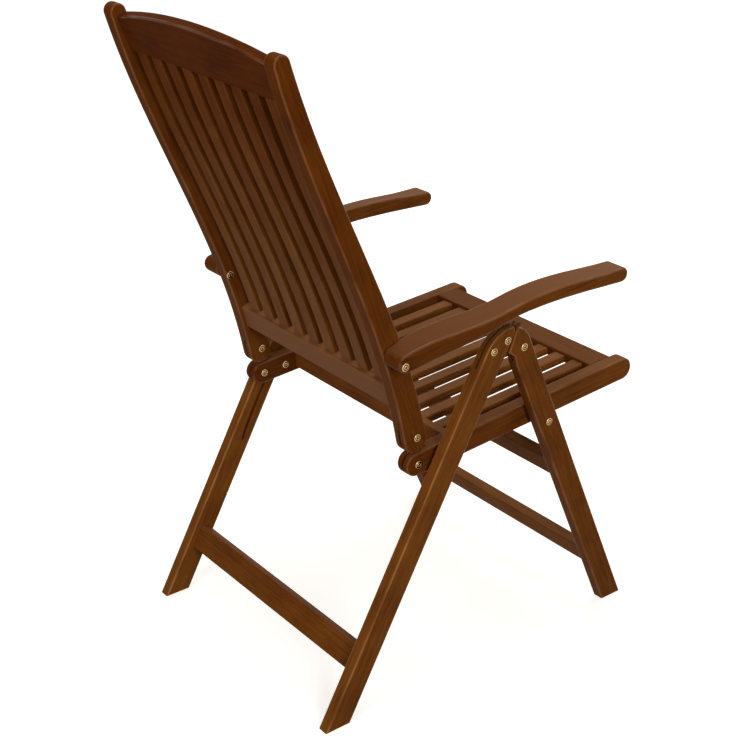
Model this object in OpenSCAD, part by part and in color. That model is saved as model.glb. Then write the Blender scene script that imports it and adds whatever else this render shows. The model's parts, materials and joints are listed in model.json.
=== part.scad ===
// Folding garden armchair with a high slatted back, in millimetres
// X runs across the chair, the sitter faces -Y, Z is up and the floor is at zero
// Joint values at rest are those of the chair standing open with its back most upright

/* [Widths across the chair] */
// Clear width between the seat's side rails
seat_inner_w = 414; // [380:2:450]
// Thickness of the side rails and of the back's stiles
rail_t = 25.5; // [22:0.5:30]
// Gap between a side rail and the legs outside it
leg_gap = 8.5; // [6:0.5:12]
// Thickness of all four legs
leg_t = 22; // [20:0.5:28]
// Width of an armrest
arm_w = 41.5; // [38:0.5:50]
// Gap between a stile and its armrest
arm_gap = 1; // [0.6:0.1:2]

/* [Legs] */
// Width of a leg seen from the side
leg_w = 42; // [38:1:46]
// Lean of the rear legs from upright, in degrees
rear_lean = 28.8; // [28.2:0.1:29.4]
// Lean of the front legs from upright, in degrees
front_lean = 24.2; // [23.8:0.1:24.6]
// Where the rear leg's axis meets the floor
rear_foot_y = 302; // [299:0.2:305]
// Where the front leg's axis meets the floor
front_foot_y = -335.2; // [-338:0.2:-333]
// Height of the legs' top ends
leg_top_z = 622; // [620:1:623]
// Radius of the rear leg's rounded rear top corner
leg_top_r = 60; // [40:2:64]
// Thickness of the stretchers
stretcher_t = 20; // [16:1:24]
// Height of the rear stretcher along the leg
rear_stretcher_h = 46; // [40:1:60]
// Foot of the leg to the rear stretcher's lower edge, along the leg
rear_stretcher_z = 94; // [80:1:110]
// Height of the front legs' lower stretcher
low_stretcher_h = 41; // [36:1:48]
// Height of the front legs' upper stretcher
high_stretcher_h = 44; // [36:1:48]
// Foot of the leg to the lower stretcher's lower edge, along the leg
low_stretcher_z = 87; // [75:1:100]
// Foot of the leg to the upper stretcher's lower edge, along the leg
high_stretcher_z = 322; // [312:1:332]

/* [Pivots] */
// Front leg pivot, front to back
pivot_e_y = -78.2; // [-79.2:0.2:-77.2]
// Front leg pivot, height
pivot_e_z = 580; // [578:0.5:582]
// Seat pivot on the front leg's axis, height
pivot_f_z = 424.5; // [422:0.5:427]
// Slot bolt, distance behind the seat pivot along the seat
slot_bolt_s = 212.5; // [211:0.5:214]
// Back pivot, distance behind the seat pivot along the seat
back_pivot_s = 259.4; // [257:0.2:262]
// Back pivot, height above the seat pivot, square to the seat
back_pivot_h = 59.9; // [59.4:0.1:61]
// Armrest pivot behind the back pivot
arm_pivot_dy = 60.7; // [60:0.1:62]
// Armrest pivot above the back pivot
arm_pivot_dz = 156; // [155:0.2:157]
// Fold travel of the front legs, in degrees
fold_max = 50; // [50:1:50]
// Seat turn backward for each degree of fold
seat_ratio = 0.9; // [0.9:0.1:0.9]
// Armrest tilt for each degree of recline
arm_ratio = 0.24; // [0.24:0.001:0.24]
// Step between two recline positions, in degrees
recline_step = 7; // [7:1:7]

/* [Seat] */
// Slope of the seat down to the rear, in degrees
seat_tilt = 4.2; // [4:0.1:4.4]
// Height of a side rail
rail_h = 40; // [38:0.5:41]
// Seat pivot above the side rail's lower edge
pivot_f_low = 9.6; // [9:0.2:11]
// Seat pivot to the centre of the rail's front round end
rail_lead = 211; // [200:1:214]
// Bolt of the back's plate to the centre of the rail's rear round end
rail_over = 3; // [1:0.5:3.5]
// Width of the front board
front_board_w = 49; // [40:1:56]
// Thickness of the front board
front_board_t = 20; // [16:1:24]
// Thickness of the rear crossrail
rear_board_t = 17; // [14:1:20]
// Number of seat slats
seat_slat_n = 9; // [9:1:9]
// Width of a seat slat
seat_slat_w = 25; // [20:1:34]
// Thickness of a seat slat
seat_slat_t = 11; // [10:1:16]
// Depth of the slats' tops below the rails' tops
slat_drop = 5; // [3:0.5:8]

/* [Back] */
// Number of back slats
back_slat_n = 9; // [9:1:9]
// Width of a back slat
back_slat_w = 26; // [20:1:34]
// Thickness of a back slat
back_slat_t = 11; // [8:1:14]
// Thickness of the crest rail and the bottom rail
back_rail_t = 18; // [16:1:20]
// Height of the crest rail at the stiles
crest_h = 58; // [50:1:66]
// Rise of the crest rail's arched top at its middle
crest_rise = 20; // [12:1:26]
// Foot of the crest rail behind the back pivot
crest_foot_y = 215.1; // [213:0.1:217]
// Foot of the crest rail above the back pivot
crest_foot_z = 572.8; // [566:0.2:576]
// Height of the back's bottom rail
bottom_rail_h = 38; // [30:1:44]

/* [Metal] */
// Radius of the pivot bolts
bolt_r = 4; // [3.5:0.1:4.4]
// Radius of the slot bolt where it runs in the slot
slot_bolt_r = 2.8; // [2.5:0.1:3.2]
// Radius of the plate bolts
plate_bolt_r = 3; // [2.5:0.1:3.2]
// Radius of the bolt heads and sleeve flanges
head_r = 7; // [6:0.5:7.5]
// Thickness of the bolt heads and sleeve flanges
head_t = 2.6; // [2:0.1:3]
// Thickness of the plates let into the wood
plate_t = 3.5; // [3:0.5:4]
// Radius of the catch pin under the armrest
catch_r = 2.5; // [2:0.1:2.8]
// Thickness of the rack's side flanges
rack_t = 2; // [1.5:0.1:2.5]

/* [Clearances] */
// Play of a turning shaft in its hole, on the radius
run_play = 0.05; // [0.02:0.01:0.1]
// Gap between pieces that move past each other
move_gap = 0.3; // [0.2:0.05:0.5]
// Gap each side of a plate in its saw cut
kerf_gap = 0.4; // [0.3:0.05:0.6]

/* [Hidden] */
$fn = 48;

// Layers across the chair, measured from the middle
x_rail_in = seat_inner_w / 2;
x_rail_out = x_rail_in + rail_t;
x_leg_in = x_rail_out + leg_gap;
x_leg_out = x_leg_in + leg_t;
x_arm_in = x_rail_out + arm_gap;
x_arm_out = x_arm_in + arm_w;
x_plate_leg = x_leg_in + leg_t * 0.48;
x_plate_seat = x_rail_in + rail_t * 0.5;
kerf_t = plate_t + 2 * kerf_gap;
hw = leg_w / 2;
plate_r = 11;

function turn(p, a) = [p[0] * cos(a) - p[1] * sin(a), p[0] * sin(a) + p[1] * cos(a)];
function bez(a, b, c, d, t) = pow(1 - t, 3) * a + 3 * pow(1 - t, 2) * t * b
    + 3 * (1 - t) * t * t * c + t * t * t * d;
function ring(c, r, a0, a1, n) = [for (i = [0:n]) c + r * [cos(a0 + (a1 - a0) * i / n), sin(a0 + (a1 - a0) * i / n)]];
function unit(v) = v / norm(v);
// Point at offset o from a leg's axis at height z
function on_rear(o, z) = [rear_foot_y - z * tan(rear_lean) + o / cos(rear_lean), z];
function on_front(o, z) = [front_foot_y + z * tan(front_lean) + o / cos(front_lean), z];

// Pivot points seen from the side
pt_e = [pivot_e_y, pivot_e_z];
pt_f = on_front(0, pivot_f_z);
function on_seat(s, h) = pt_f + turn([s, h], -seat_tilt);
rail_mid_h = rail_h / 2 - pivot_f_low;
rail_top_h = rail_h - pivot_f_low;
rail_tail = back_pivot_s + rail_over;
pt_d = on_seat(slot_bolt_s, rail_mid_h);
pt_c = on_seat(back_pivot_s, rail_mid_h);
pt_b = on_seat(back_pivot_s, back_pivot_h);
pt_a = pt_b + [arm_pivot_dy, arm_pivot_dz];
pt_d1 = on_rear(-11, leg_top_z - 21);
pt_d2 = on_rear(8.5, leg_top_z - 33);
pt_catch = [on_rear(0, leg_top_z)[0] - 9.5, leg_top_z + 12];

// Path of the slot bolt along the rear leg while the chair folds
function slot_at(f) = pt_e + turn(pt_f - pt_e, f) + turn(pt_d - pt_f, -seat_ratio * f);
function slot_dir(f) = unit(slot_at(f + 0.1) - slot_at(f - 0.1));
slot_half = slot_bolt_r + move_gap;

// Place of the catch pin in the armrest's own frame at a recline of r degrees
function arm_pivot_at(r) = pt_b + turn(pt_a - pt_b, -r);
function catch_at(r) = pt_a + turn(pt_catch - arm_pivot_at(r), arm_ratio * r);

module side(x0, x1) {
    translate([x0, 0, 0])
        rotate([90, 0, 90])
            linear_extrude(x1 - x0)
                children();
}

module rod(p, x0, x1, r) {
    translate([x0, p[0], p[1]])
        rotate([0, 90, 0])
            cylinder(h = x1 - x0, r = r);
}

// Domed bolt head with a hexagon socket, its flat at x0 and its top at x1
module head(p, x0, x1, r) {
    out = x1 > x0 ? 1 : -1;
    t = abs(x1 - x0);
    difference() {
        translate([x0, p[0], p[1]])
            rotate([0, 90 * out, 0])
                rotate_extrude()
                    polygon([[0, 0], [r, 0], [r, t * 0.45], [r * 0.9, t * 0.8], [r * 0.7, t], [0, t]]);
        translate([x0 + out * t * 0.4, p[0], p[1]])
            rotate([0, 90 * out, 0])
                linear_extrude(t)
                    polygon([for (i = [0:5]) r * 0.4 * [cos(60 * i), sin(60 * i)]]);
    }
}

module link(p, q, r) {
    d = q - p;
    translate(p)
        circle(r);
    translate(q)
        circle(r);
    translate(p)
        rotate(atan2(d[1], d[0]))
            translate([0, -r])
                square([norm(d), 2 * r]);
}

module rounded(w, t, r) {
    square([w - 2 * r, t], center = true);
    square([w, t - 2 * r], center = true);
    for (sx = [-1, 1], sy = [-1, 1])
        translate([sx * (w / 2 - r), sy * (t / 2 - r)])
            circle(r, $fn = 24);
}

module right_side() {
    mirror([1, 0, 0])
        children();
}

// Rear leg frame
module rear_leg_outline(inset) {
    h = hw - inset;
    r = leg_top_r - inset;
    c = on_rear(hw - leg_top_r, leg_top_z - leg_top_r);
    polygon(concat(
        [on_rear(-h, 0), on_rear(h, 0)],
        ring(c, r, rear_lean, 90, 10),
        [[on_rear(-hw, leg_top_z)[0] + 9, leg_top_z - inset], on_rear(-h, leg_top_z - 10)]));
}

module rear_leg() {
    difference() {
        side(x_leg_in, x_leg_out)
            rear_leg_outline(0);
        side(x_plate_leg - kerf_t / 2, x_plate_leg + kerf_t / 2)
            polygon([on_rear(-hw - 20, leg_top_z - 80), on_rear(hw + 20, leg_top_z - 52),
                on_rear(hw + 60, leg_top_z + 20), on_rear(-hw - 60, leg_top_z + 20)]);
        rod(pt_d1, x_leg_in - 1, x_leg_out + 1, plate_bolt_r + run_play);
        rod(pt_d2, x_leg_in - 1, x_leg_out + 1, plate_bolt_r + run_play);
        side(x_leg_in - 1, x_leg_in + leg_t * 0.6)
            slot_outline();
    }
}

module slot_outline() {
    n = 16;
    polygon(concat(
        [for (i = [0:n]) slot_at(i * fold_max / n) + slot_half * turn(slot_dir(i * fold_max / n), 90)],
        [for (i = [n:-1:0]) slot_at(i * fold_max / n) - slot_half * turn(slot_dir(i * fold_max / n), 90)]));
    translate(slot_at(0))
        circle(slot_half);
    translate(slot_at(fold_max))
        circle(slot_half);
}

module rear_leg_left() {
    color([0.72, 0.45, 0.24])
        rear_leg();
}

module rear_leg_right() {
    color([0.72, 0.45, 0.24])
        right_side()
            rear_leg();
}

module rear_stretcher() {
    low = on_rear(0, 0);
    color([0.74, 0.47, 0.25])
        translate([-x_leg_in, low[0], low[1]])
            rotate([rear_lean, 0, 0])
                translate([0, 0, rear_stretcher_z + rear_stretcher_h / 2])
                    rotate([90, 0, 90])
                        linear_extrude(2 * x_leg_in)
                            rounded(stretcher_t, rear_stretcher_h, 3);
}

module leg_plate() {
    r = leg_top_r - 2;
    c = on_rear(hw - leg_top_r, leg_top_z - leg_top_r);
    difference() {
        union() {
            side(x_plate_leg - plate_t / 2, x_plate_leg + plate_t / 2)
                union() {
                    polygon(concat(
                        [on_rear(2, leg_top_z - 58), on_rear(hw - 2, leg_top_z - 48)],
                        ring(c, r, rear_lean, 90, 8),
                        [on_rear(-hw + 5, leg_top_z - 3), on_rear(-hw + 6, leg_top_z - 40)]));
                    link(pt_e, pt_d1, plate_r);
                    link(pt_d1, pt_catch, catch_r + 3.5);
                }
            rod(pt_catch, x_plate_leg - 8, x_plate_leg + 8, catch_r);
        }
        rod(pt_d1, x_leg_in, x_leg_out, plate_bolt_r + run_play);
        rod(pt_d2, x_leg_in, x_leg_out, plate_bolt_r + run_play);
        rod(pt_e, x_leg_in, x_leg_out, bolt_r + run_play);
    }
}

module leg_plate_left() {
    color([0.55, 0.5, 0.34])
        leg_plate();
}

module leg_plate_right() {
    color([0.55, 0.5, 0.34])
        right_side()
            leg_plate();
}

module leg_plate_bolts() {
    for (p = [pt_d1, pt_d2]) {
        rod(p, x_leg_in, x_leg_out, plate_bolt_r);
        head(p, x_leg_out, x_leg_out + head_t, head_r);
        head(p, x_leg_in, x_leg_in - head_t, head_r);
    }
}

module leg_plate_bolts_left() {
    color([0.8, 0.66, 0.38])
        leg_plate_bolts();
}

module leg_plate_bolts_right() {
    color([0.8, 0.66, 0.38])
        right_side()
            leg_plate_bolts();
}

// Front leg frame
module front_leg() {
    top = on_front(0, leg_top_z);
    difference() {
        side(x_leg_in, x_leg_out)
            polygon(concat(
                [on_front(-hw, 0), on_front(hw, 0), on_front(hw, leg_top_z - 72)],
                [[on_front(hw, leg_top_z - 55)[0] - 3, leg_top_z - 55]],
                [on_rear(-hw, leg_top_z - 45) + [-7.2, 0], on_rear(-hw, leg_top_z - 5) + [-1.2, 0]],
                [[on_rear(-hw, leg_top_z)[0] - 7, leg_top_z]],
                [[on_front(-hw, leg_top_z)[0] + 12, leg_top_z - 4.5]],
                [[on_front(-hw, leg_top_z - 10)[0] + 5, leg_top_z - 11], on_front(-hw, leg_top_z - 22)]));
        side(x_plate_leg - kerf_t / 2, x_plate_leg + kerf_t / 2)
            polygon([on_front(-hw - 4, leg_top_z - 82), on_front(hw + 4, leg_top_z - 66),
                on_front(hw + 30, leg_top_z + 20), on_front(-hw - 30, leg_top_z + 20)]);
        rod(pt_e, x_leg_in - 1, x_leg_out + 1, bolt_r + run_play);
        rod(pt_f, x_leg_in - 1, x_leg_out + 1, bolt_r + run_play);
    }
}

module front_leg_left() {
    color([0.7, 0.43, 0.23])
        front_leg();
}

module front_leg_right() {
    color([0.7, 0.43, 0.23])
        right_side()
            front_leg();
}

module front_bar(z0, h) {
    low = on_front(0, 0);
    translate([-x_leg_in, low[0], low[1]])
        rotate([-front_lean, 0, 0])
            translate([0, 0, z0 + h / 2])
                rotate([90, 0, 90])
                    linear_extrude(2 * x_leg_in)
                        rounded(stretcher_t, h, 3);
}

module front_low_stretcher() {
    color([0.74, 0.47, 0.25])
        front_bar(low_stretcher_z, low_stretcher_h);
}

module front_high_stretcher() {
    color([0.74, 0.47, 0.25])
        front_bar(high_stretcher_z, high_stretcher_h);
}

module leg_pivot() {
    rod(pt_e, x_leg_in, x_leg_out, bolt_r);
    head(pt_e, x_leg_out, x_leg_out + head_t, head_r);
    head(pt_e, x_leg_in, x_leg_in - head_t, head_r);
}

module leg_pivot_left() {
    color([0.8, 0.66, 0.38])
        leg_pivot();
}

module leg_pivot_right() {
    color([0.8, 0.66, 0.38])
        right_side()
            leg_pivot();
}

module seat_pivot() {
    rod(pt_f, x_rail_in - move_gap, x_leg_out, bolt_r);
    head(pt_f, x_leg_out, x_leg_out + head_t, head_r);
    head(pt_f, x_rail_in - move_gap, x_rail_in - move_gap - head_t, head_r);
    rod(pt_f, x_rail_out + move_gap, x_leg_in, head_r + 1);
}

module seat_pivot_left() {
    color([0.8, 0.66, 0.38])
        seat_pivot();
}

module seat_pivot_right() {
    color([0.8, 0.66, 0.38])
        right_side()
            seat_pivot();
}

// Seat, drawn along its own slope with the seat pivot as origin
module on_slope() {
    translate([0, pt_f[0], pt_f[1]])
        rotate([-seat_tilt, 0, 0])
            children();
}

module seat_rail() {
    difference() {
        on_slope()
            side(x_rail_in, x_rail_out)
                link([-rail_lead, rail_mid_h], [rail_tail, rail_mid_h], rail_h / 2);
        on_slope()
            translate([x_plate_seat - kerf_t / 2, back_pivot_s - 26, rail_mid_h - plate_r - 1])
                cube([kerf_t, 80, rail_h]);
        rod(pt_f, x_rail_in - 1, x_rail_out + 1, bolt_r + run_play);
        rod(pt_c, x_rail_in - 1, x_rail_out + 1, plate_bolt_r + run_play);
        rod(pt_d, x_rail_in - 1, x_rail_out + 1, plate_bolt_r + run_play);
    }
}

module seat_rail_left() {
    color([0.73, 0.46, 0.25])
        seat_rail();
}

module seat_rail_right() {
    color([0.73, 0.46, 0.25])
        right_side()
            seat_rail();
}

board_front = -rail_lead + 8;
rear_board_back = 188.5;
slat_front = board_front + front_board_w - 14;
slat_back = rear_board_back - rear_board_t;

module seat_front_board() {
    color([0.76, 0.5, 0.28])
        on_slope()
            difference() {
                translate([-x_rail_in, board_front + front_board_w / 2, rail_top_h - front_board_t / 2])
                    rotate([90, 0, 90])
                        linear_extrude(2 * x_rail_in)
                            rounded(front_board_w, front_board_t, 3);
                for (i = [1:seat_slat_n])
                    translate([seat_slat_x(i), slat_front, rail_top_h - slat_drop - seat_slat_t / 2])
                        rotate([-90, 0, 0])
                            linear_extrude(30)
                                rounded(seat_slat_w, seat_slat_t, 3);
            }
}

module seat_rear_board() {
    color([0.76, 0.5, 0.28])
        on_slope()
            translate([-x_rail_in, rear_board_back - rear_board_t / 2, (rail_top_h - 2 - pivot_f_low + 5) / 2])
                rotate([90, 0, 90])
                    linear_extrude(2 * x_rail_in)
                        rounded(rear_board_t, rail_top_h - 2 + pivot_f_low - 5, 3);
}

function seat_slat_x(i) = (i - (seat_slat_n + 1) / 2) * (seat_inner_w + seat_slat_w) / (seat_slat_n + 1);

module seat_slat(i) {
    color([0.75, 0.48, 0.26])
        on_slope()
            translate([seat_slat_x(i), slat_front, rail_top_h - slat_drop - seat_slat_t / 2])
                rotate([-90, 0, 0])
                    linear_extrude(slat_back - slat_front)
                        rounded(seat_slat_w, seat_slat_t, 3);
}

module seat_slat_1() {
    seat_slat(1);
}

module seat_slat_2() {
    seat_slat(2);
}

module seat_slat_3() {
    seat_slat(3);
}

module seat_slat_4() {
    seat_slat(4);
}

module seat_slat_5() {
    seat_slat(5);
}

module seat_slat_6() {
    seat_slat(6);
}

module seat_slat_7() {
    seat_slat(7);
}

module seat_slat_8() {
    seat_slat(8);
}

module seat_slat_9() {
    seat_slat(9);
}

module seat_plate() {
    difference() {
        side(x_plate_seat - plate_t / 2, x_plate_seat + plate_t / 2)
            link(pt_c, pt_b, plate_r);
        rod(pt_b, x_rail_in, x_rail_out, bolt_r + run_play);
        rod(pt_c, x_rail_in, x_rail_out, plate_bolt_r + run_play);
    }
    rod(pt_c, x_rail_in - move_gap, x_rail_out + move_gap, plate_bolt_r);
    head(pt_c, x_rail_out + move_gap, x_rail_out + move_gap + head_t, head_r);
    head(pt_c, x_rail_in - move_gap, x_rail_in - move_gap - head_t, head_r);
}

module seat_plate_left() {
    color([0.8, 0.66, 0.38])
        seat_plate();
}

module seat_plate_right() {
    color([0.8, 0.66, 0.38])
        right_side()
            seat_plate();
}

module slot_bolt() {
    rod(pt_d, x_rail_in, x_leg_in - move_gap, plate_bolt_r);
    rod(pt_d, x_leg_in - move_gap - 1, x_leg_in + leg_t * 0.6 - 1, slot_bolt_r);
    head(pt_d, x_rail_in, x_rail_in - head_t, head_r);
    rod(pt_d, x_rail_out, x_leg_in - move_gap, head_r);
}

module slot_bolt_left() {
    color([0.8, 0.66, 0.38])
        slot_bolt();
}

module slot_bolt_right() {
    color([0.8, 0.66, 0.38])
        right_side()
            slot_bolt();
}

module back_pivot() {
    rod(pt_b, x_rail_in - move_gap, x_rail_out + move_gap, bolt_r);
    head(pt_b, x_rail_out + move_gap, x_rail_out + move_gap + head_t, head_r);
    head(pt_b, x_rail_in - move_gap, x_rail_in - move_gap - head_t, head_r);
}

module back_pivot_left() {
    color([0.8, 0.66, 0.38])
        back_pivot();
}

module back_pivot_right() {
    color([0.8, 0.66, 0.38])
        right_side()
            back_pivot();
}

// Back, drawn from the back pivot
foot_c = [1.5, -5.5];
foot_reach = back_pivot_h - rail_top_h - 2;
foot_r = foot_reach - norm(foot_c);
top_r = 13.5;
top_c = [239.6, 629.3];
top_turn = 70;
function stile_front(t) = pt_b + bez(foot_c + turn([foot_r, 0], 172), [23.3, 211.9], [158, 414.3],
    top_c + turn([top_r, 0], top_turn + 90), t);
function stile_rear(t) = pt_b + bez(foot_c + turn([foot_r, 0], -8), [67.1, 223.5], [192.2, 414.5],
    top_c + turn([top_r, 0], top_turn - 90), t);
function stile_at(t, s) = (1 - s) * stile_front(t) + s * stile_rear(t);
function stile_dir(t, s) = unit(stile_at(t + 0.005, s) - stile_at(t - 0.005, s));

module back_stile() {
    difference() {
        side(x_rail_in, x_rail_out)
            polygon(concat(
                [for (i = [0:24]) stile_rear(i / 24)],
                ring(pt_b + top_c, top_r, top_turn - 75, top_turn + 75, 9),
                [for (i = [24:-1:0]) stile_front(i / 24)],
                ring(pt_b + foot_c, foot_r, 182, 342, 14)));
        translate([x_plate_seat - kerf_t / 2, pt_b[0] - 60, pt_b[1] - 40])
            cube([kerf_t, 120, 57]);
        rod(pt_b, x_rail_in - 1, x_rail_out + 1, bolt_r + run_play);
        rod(pt_a, x_rail_in - 1, x_rail_out + 1, bolt_r + run_play);
    }
}

module back_stile_left() {
    color([0.74, 0.46, 0.23])
        back_stile();
}

module back_stile_right() {
    color([0.74, 0.46, 0.23])
        right_side()
            back_stile();
}

// The crest rail stands in a plane along the stiles' tops
crest_s = 0.62;
crest_foot = pt_b + [crest_foot_y, crest_foot_z];
crest_lean = 69;

module crest_rail() {
    w = 2 * x_rail_in;
    r = (x_rail_in * x_rail_in + crest_rise * crest_rise) / (2 * crest_rise);
    color([0.72, 0.44, 0.22])
        translate([0, crest_foot[0], crest_foot[1]])
            rotate([crest_lean, 0, 0])
                translate([0, 0, -back_rail_t / 2])
                    linear_extrude(back_rail_t)
                        intersection() {
                            translate([-w / 2, 0])
                                square([w, crest_h + crest_rise + 1]);
                            translate([0, crest_h + crest_rise - r])
                                circle(r, $fn = 180);
                        }
}

bottom_t = 0.125;
bottom_s = 0.4;

module bottom_rail_shape() {
    p = stile_at(bottom_t, bottom_s);
    d = stile_dir(bottom_t, bottom_s);
    translate([-x_rail_in, p[0], p[1]])
        rotate([atan2(d[1], d[0]) - 90, 0, 0])
            rotate([90, 0, 90])
                linear_extrude(2 * x_rail_in)
                    rounded(back_rail_t, bottom_rail_h, 3);
}

module back_bottom_rail() {
    color([0.76, 0.5, 0.28])
        bottom_rail_shape();
}

slat_t0 = bottom_t + 0.01;
slat_t1 = 0.93;
slat_s = 0.47;
function slat_c(t) = stile_at(t, slat_s - 0.11 * t);
function slat_n(t) = turn(stile_dir(t, slat_s), 90);

module back_slat(i) {
    n = 20;
    x = (i - (back_slat_n + 1) / 2) * (seat_inner_w + back_slat_w) / (back_slat_n + 1);
    color([0.75, 0.48, 0.26])
        difference() {
            side(x - back_slat_w / 2, x + back_slat_w / 2)
                polygon(concat(
                    [for (k = [0:n]) slat_c(slat_t0 + (slat_t1 - slat_t0) * k / n)
                        + back_slat_t / 2 * slat_n(slat_t0 + (slat_t1 - slat_t0) * k / n)],
                    [for (k = [n:-1:0]) slat_c(slat_t0 + (slat_t1 - slat_t0) * k / n)
                        - back_slat_t / 2 * slat_n(slat_t0 + (slat_t1 - slat_t0) * k / n)]));
            bottom_rail_shape();
            translate([0, crest_foot[0], crest_foot[1]])
                rotate([crest_lean, 0, 0])
                    translate([-x_rail_in, 0, -back_rail_t])
                        cube([2 * x_rail_in, 60, 2 * back_rail_t]);
        }
}

module back_slat_1() {
    back_slat(1);
}

module back_slat_2() {
    back_slat(2);
}

module back_slat_3() {
    back_slat(3);
}

module back_slat_4() {
    back_slat(4);
}

module back_slat_5() {
    back_slat(5);
}

module back_slat_6() {
    back_slat(6);
}

module back_slat_7() {
    back_slat(7);
}

module back_slat_8() {
    back_slat(8);
}

module back_slat_9() {
    back_slat(9);
}

// Armrests, drawn from their pivot
module arm_bolt() {
    rod(pt_a, x_rail_in + 8, x_arm_out + move_gap, bolt_r - 1);
    head(pt_a, x_arm_out + move_gap, x_arm_out + move_gap + head_t, head_r);
}

module arm_bolt_left() {
    color([0.8, 0.66, 0.38])
        arm_bolt();
}

module arm_bolt_right() {
    color([0.8, 0.66, 0.38])
        right_side()
            arm_bolt();
}

module arm_sleeve() {
    difference() {
        rod(pt_a, x_rail_in - move_gap, x_arm_out - 1, bolt_r);
        rod(pt_a, x_rail_in + 7, x_arm_out, bolt_r - 1 + run_play);
    }
    head(pt_a, x_rail_in - move_gap, x_rail_in - move_gap - head_t, head_r);
}

module arm_sleeve_left() {
    color([0.8, 0.66, 0.38])
        arm_sleeve();
}

module arm_sleeve_right() {
    color([0.8, 0.66, 0.38])
        right_side()
            arm_sleeve();
}

end_c = [-5.6, 3.3];
end_r = 16;
nose_c = [-466.1, 36.8];
nose_r = 13;
arm_mid_top = [-217.6, 48.2];
arm_mid_low = [-233.6, 22.8];
function arm_top_rear(t) = bez(end_c + turn([end_r, 0], 62), [-64.7, 45.5], [-147, 33.4], arm_mid_top, t);
function arm_top_front(t) = bez(arm_mid_top, [-298.1, 65.4], [-381.3, 50.6], nose_c + [2, nose_r], t);
function arm_low_front(t) = bez(nose_c + [2, -nose_r], [-388.3, 26.6], [-310.7, 31.1], arm_mid_low, t);
function arm_low_rear(t) = bez(arm_mid_low, [-162, 4.5], [-91.1, -0.5], end_c + turn([end_r, 0], -98), t);

module arm_outline() {
    polygon(concat(
        [for (i = [0:9]) pt_a + arm_top_rear(i / 10)],
        [for (i = [0:10]) pt_a + arm_top_front(i / 10)],
        ring(pt_a + nose_c, nose_r, 105, 255, 9),
        [for (i = [0:10]) pt_a + arm_low_front(i / 10)],
        [for (i = [1:9]) pt_a + arm_low_rear(i / 10)],
        ring(pt_a + end_c, end_r, -98, 55, 9)));
}

// The rack's channel follows the armrest's underside above the catch pin's path
recline_max = 4 * recline_step;
rack_a = catch_at(-5);
rack_b = catch_at(recline_max + 4);
rack_dir = unit(rack_b - rack_a);
rack_up = turn(rack_dir, -90);
rack_lift = catch_r + 0.4;
rack_h = 13.5;

module rack_outline() {
    n = 16;
    polygon(concat(
        [for (i = [0:n]) catch_at(-5 + (recline_max + 9) * i / n) + rack_lift * rack_up],
        [rack_b + rack_h * rack_up, rack_a + rack_h * rack_up]));
}

module armrest() {
    difference() {
        side(x_arm_in, x_arm_out)
            arm_outline();
        side(x_plate_leg - 7 - move_gap, x_plate_leg + 7 + move_gap)
            polygon([rack_a - rack_dir * 0.5, rack_b + rack_dir * 0.5,
                rack_b + rack_dir * 0.5 + (rack_h + 0.2) * rack_up, rack_a - rack_dir * 0.5 + (rack_h + 0.2) * rack_up]);
        rod(pt_a, x_arm_in - 1, x_arm_out + 1, bolt_r + run_play);
    }
}

module armrest_left() {
    color([0.77, 0.5, 0.3])
        armrest();
}

module armrest_right() {
    color([0.77, 0.5, 0.3])
        right_side()
            armrest();
}

module arm_rack() {
    difference() {
        side(x_plate_leg - 7, x_plate_leg + 7)
            rack_outline();
        side(x_plate_leg - 7 + rack_t, x_plate_leg + 7 - rack_t)
            polygon([rack_a - rack_dir * 5 - 5 * rack_up, rack_b + rack_dir * 5 - 5 * rack_up,
                rack_b + rack_dir * 5 + (rack_h - rack_t) * rack_up, rack_a - rack_dir * 5 + (rack_h - rack_t) * rack_up]);
        for (i = [0:4])
            side(x_plate_leg - 8, x_plate_leg + 8)
                link(catch_at(i * recline_step), catch_at(i * recline_step) + 5 * rack_up, catch_r + 0.5);
    }
}

module arm_rack_left() {
    color([0.5, 0.45, 0.3])
        arm_rack();
}

module arm_rack_right() {
    color([0.5, 0.45, 0.3])
        right_side()
            arm_rack();
}

rear_leg_left();
rear_leg_right();
rear_stretcher();
leg_plate_left();
leg_plate_right();
leg_plate_bolts_left();
leg_plate_bolts_right();
front_leg_left();
front_leg_right();
front_low_stretcher();
front_high_stretcher();
leg_pivot_left();
leg_pivot_right();
seat_pivot_left();
seat_pivot_right();
seat_rail_left();
seat_rail_right();
seat_front_board();
seat_rear_board();
seat_slat_1();
seat_slat_2();
seat_slat_3();
seat_slat_4();
seat_slat_5();
seat_slat_6();
seat_slat_7();
seat_slat_8();
seat_slat_9();
seat_plate_left();
seat_plate_right();
slot_bolt_left();
slot_bolt_right();
back_pivot_left();
back_pivot_right();
back_stile_left();
back_stile_right();
crest_rail();
back_bottom_rail();
back_slat_1();
back_slat_2();
back_slat_3();
back_slat_4();
back_slat_5();
back_slat_6();
back_slat_7();
back_slat_8();
back_slat_9();
arm_bolt_left();
arm_bolt_right();
arm_sleeve_left();
arm_sleeve_right();
armrest_left();
armrest_right();
arm_rack_left();
arm_rack_right();
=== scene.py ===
import json
import math

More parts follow.
